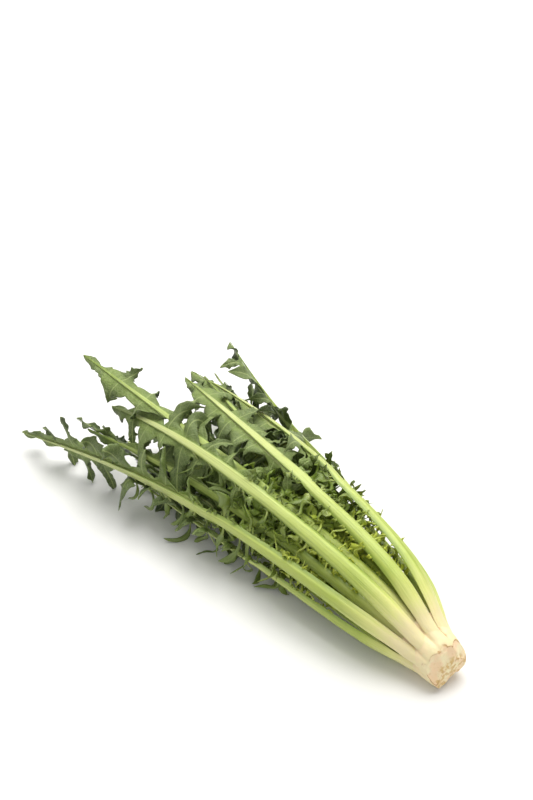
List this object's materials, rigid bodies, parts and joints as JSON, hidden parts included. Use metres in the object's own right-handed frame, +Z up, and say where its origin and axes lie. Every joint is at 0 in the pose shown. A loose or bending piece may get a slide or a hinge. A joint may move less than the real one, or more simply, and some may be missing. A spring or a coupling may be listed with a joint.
{
  "type": "catalogna chicory head",
  "caption": "Head of catalogna chicory lying on its side: long ribbed stalks with thread-like teeth fan from a trimmed crown into narrow lobed green blades.",
  "frame": {"origin": "on the surface that the head lies on, below the centre of its box", "axes": "+Y along the head's axis from the trimmed crown to the leaf tips, +Z up from the surface, +X to the right of a viewer who looks along +Y"},
  "size_m": [0.1894, 0.4238, 0.0992],
  "materials": {
    "crown": "moist cut root flesh, cream with tan scars",
    "heart_leaf_1_blade": "soft matt leaf blade, veined",
    "heart_leaf_1_stalk": "satin ribbed leaf stalk, cream at the root to green",
    "heart_leaf_2_blade": "soft matt leaf blade, veined",
    "heart_leaf_2_stalk": "satin ribbed leaf stalk, cream at the root to green",
    "heart_leaf_3_blade": "soft matt leaf blade, veined",
    "heart_leaf_3_stalk": "satin ribbed leaf stalk, cream at the root to green",
    "inner_leaf_1_blade": "soft matt leaf blade, veined",
    "inner_leaf_1_stalk": "satin ribbed leaf stalk, cream at the root to green",
    "inner_leaf_2_blade": "soft matt leaf blade, veined",
    "inner_leaf_2_stalk": "satin ribbed leaf stalk, cream at the root to green",
    "inner_leaf_3_blade": "soft matt leaf blade, veined",
    "inner_leaf_3_stalk": "satin ribbed leaf stalk, cream at the root to green",
    "inner_leaf_4_blade": "soft matt leaf blade, veined",
    "inner_leaf_4_stalk": "satin ribbed leaf stalk, cream at the root to green",
    "inner_leaf_5_blade": "soft matt leaf blade, veined",
    "inner_leaf_5_stalk": "satin ribbed leaf stalk, cream at the root to green",
    "inner_leaf_6_blade": "soft matt leaf blade, veined",
    "inner_leaf_6_stalk": "satin ribbed leaf stalk, cream at the root to green",
    "middle_leaf_1_blade": "soft matt leaf blade, veined",
    "middle_leaf_1_stalk": "satin ribbed leaf stalk, cream at the root to green",
    "middle_leaf_2_blade": "soft matt leaf blade, veined",
    "middle_leaf_2_stalk": "satin ribbed leaf stalk, cream at the root to green",
    "middle_leaf_3_blade": "soft matt leaf blade, veined",
    "middle_leaf_3_stalk": "satin ribbed leaf stalk, cream at the root to green",
    "middle_leaf_4_blade": "soft matt leaf blade, veined",
    "middle_leaf_4_stalk": "satin ribbed leaf stalk, cream at the root to green",
    "middle_leaf_5_blade": "soft matt leaf blade, veined",
    "middle_leaf_5_stalk": "satin ribbed leaf stalk, cream at the root to green",
    "middle_leaf_6_blade": "soft matt leaf blade, veined",
    "middle_leaf_6_stalk": "satin ribbed leaf stalk, cream at the root to green",
    "middle_leaf_7_blade": "soft matt leaf blade, veined",
    "middle_leaf_7_stalk": "satin ribbed leaf stalk, cream at the root to green",
    "middle_leaf_8_blade": "soft matt leaf blade, veined",
    "middle_leaf_8_stalk": "satin ribbed leaf stalk, cream at the root to green",
    "outer_leaf_1_blade": "soft matt leaf blade, veined",
    "outer_leaf_1_stalk": "satin ribbed leaf stalk, cream at the root to green",
    "outer_leaf_2_blade": "soft matt leaf blade, veined",
    "outer_leaf_2_stalk": "satin ribbed leaf stalk, cream at the root to green",
    "outer_leaf_3_blade": "soft matt leaf blade, veined",
    "outer_leaf_3_stalk": "satin ribbed leaf stalk, cream at the root to green",
    "outer_leaf_4_blade": "soft matt leaf blade, veined",
    "outer_leaf_4_stalk": "satin ribbed leaf stalk, cream at the root to green",
    "outer_leaf_5_blade": "soft matt leaf blade, veined",
    "outer_leaf_5_stalk": "satin ribbed leaf stalk, cream at the root to green",
    "outer_leaf_6_blade": "soft matt leaf blade, veined",
    "outer_leaf_6_stalk": "satin ribbed leaf stalk, cream at the root to green",
    "outer_leaf_7_blade": "soft matt leaf blade, veined",
    "outer_leaf_7_stalk": "satin ribbed leaf stalk, cream at the root to green",
    "outer_leaf_8_blade": "soft matt leaf blade, veined",
    "outer_leaf_8_stalk": "satin ribbed leaf stalk, cream at the root to green",
    "outer_leaf_9_blade": "soft matt leaf blade, veined",
    "outer_leaf_9_stalk": "satin ribbed leaf stalk, cream at the root to green"
  },
  "bodies": {
    "root": {"crown": "crown", "heart_leaf_1_blade": "heart_leaf_1_blade", "heart_leaf_1_stalk": "heart_leaf_1_stalk", "heart_leaf_2_blade": "heart_leaf_2_blade", "heart_leaf_2_stalk": "heart_leaf_2_stalk", "heart_leaf_3_blade": "heart_leaf_3_blade", "heart_leaf_3_stalk": "heart_leaf_3_stalk", "inner_leaf_1_blade": "inner_leaf_1_blade", "inner_leaf_1_stalk": "inner_leaf_1_stalk", "inner_leaf_2_blade": "inner_leaf_2_blade", "inner_leaf_2_stalk": "inner_leaf_2_stalk", "inner_leaf_3_blade": "inner_leaf_3_blade", "inner_leaf_3_stalk": "inner_leaf_3_stalk", "inner_leaf_4_blade": "inner_leaf_4_blade", "inner_leaf_4_stalk": "inner_leaf_4_stalk", "inner_leaf_5_blade": "inner_leaf_5_blade", "inner_leaf_5_stalk": "inner_leaf_5_stalk", "inner_leaf_6_blade": "inner_leaf_6_blade", "inner_leaf_6_stalk": "inner_leaf_6_stalk", "middle_leaf_1_blade": "middle_leaf_1_blade", "middle_leaf_1_stalk": "middle_leaf_1_stalk", "middle_leaf_2_blade": "middle_leaf_2_blade", "middle_leaf_2_stalk": "middle_leaf_2_stalk", "middle_leaf_3_blade": "middle_leaf_3_blade", "middle_leaf_3_stalk": "middle_leaf_3_stalk", "middle_leaf_4_blade": "middle_leaf_4_blade", "middle_leaf_4_stalk": "middle_leaf_4_stalk", "middle_leaf_5_blade": "middle_leaf_5_blade", "middle_leaf_5_stalk": "middle_leaf_5_stalk", "middle_leaf_6_blade": "middle_leaf_6_blade", "middle_leaf_6_stalk": "middle_leaf_6_stalk", "middle_leaf_7_blade": "middle_leaf_7_blade", "middle_leaf_7_stalk": "middle_leaf_7_stalk", "middle_leaf_8_blade": "middle_leaf_8_blade", "middle_leaf_8_stalk": "middle_leaf_8_stalk", "outer_leaf_1_blade": "outer_leaf_1_blade", "outer_leaf_1_stalk": "outer_leaf_1_stalk", "outer_leaf_2_blade": "outer_leaf_2_blade", "outer_leaf_2_stalk": "outer_leaf_2_stalk", "outer_leaf_3_blade": "outer_leaf_3_blade", "outer_leaf_3_stalk": "outer_leaf_3_stalk", "outer_leaf_4_blade": "outer_leaf_4_blade", "outer_leaf_4_stalk": "outer_leaf_4_stalk", "outer_leaf_5_blade": "outer_leaf_5_blade", "outer_leaf_5_stalk": "outer_leaf_5_stalk", "outer_leaf_6_blade": "outer_leaf_6_blade", "outer_leaf_6_stalk": "outer_leaf_6_stalk", "outer_leaf_7_blade": "outer_leaf_7_blade", "outer_leaf_7_stalk": "outer_leaf_7_stalk", "outer_leaf_8_blade": "outer_leaf_8_blade", "outer_leaf_8_stalk": "outer_leaf_8_stalk", "outer_leaf_9_blade": "outer_leaf_9_blade", "outer_leaf_9_stalk": "outer_leaf_9_stalk"}
  },
  "joints": []
}
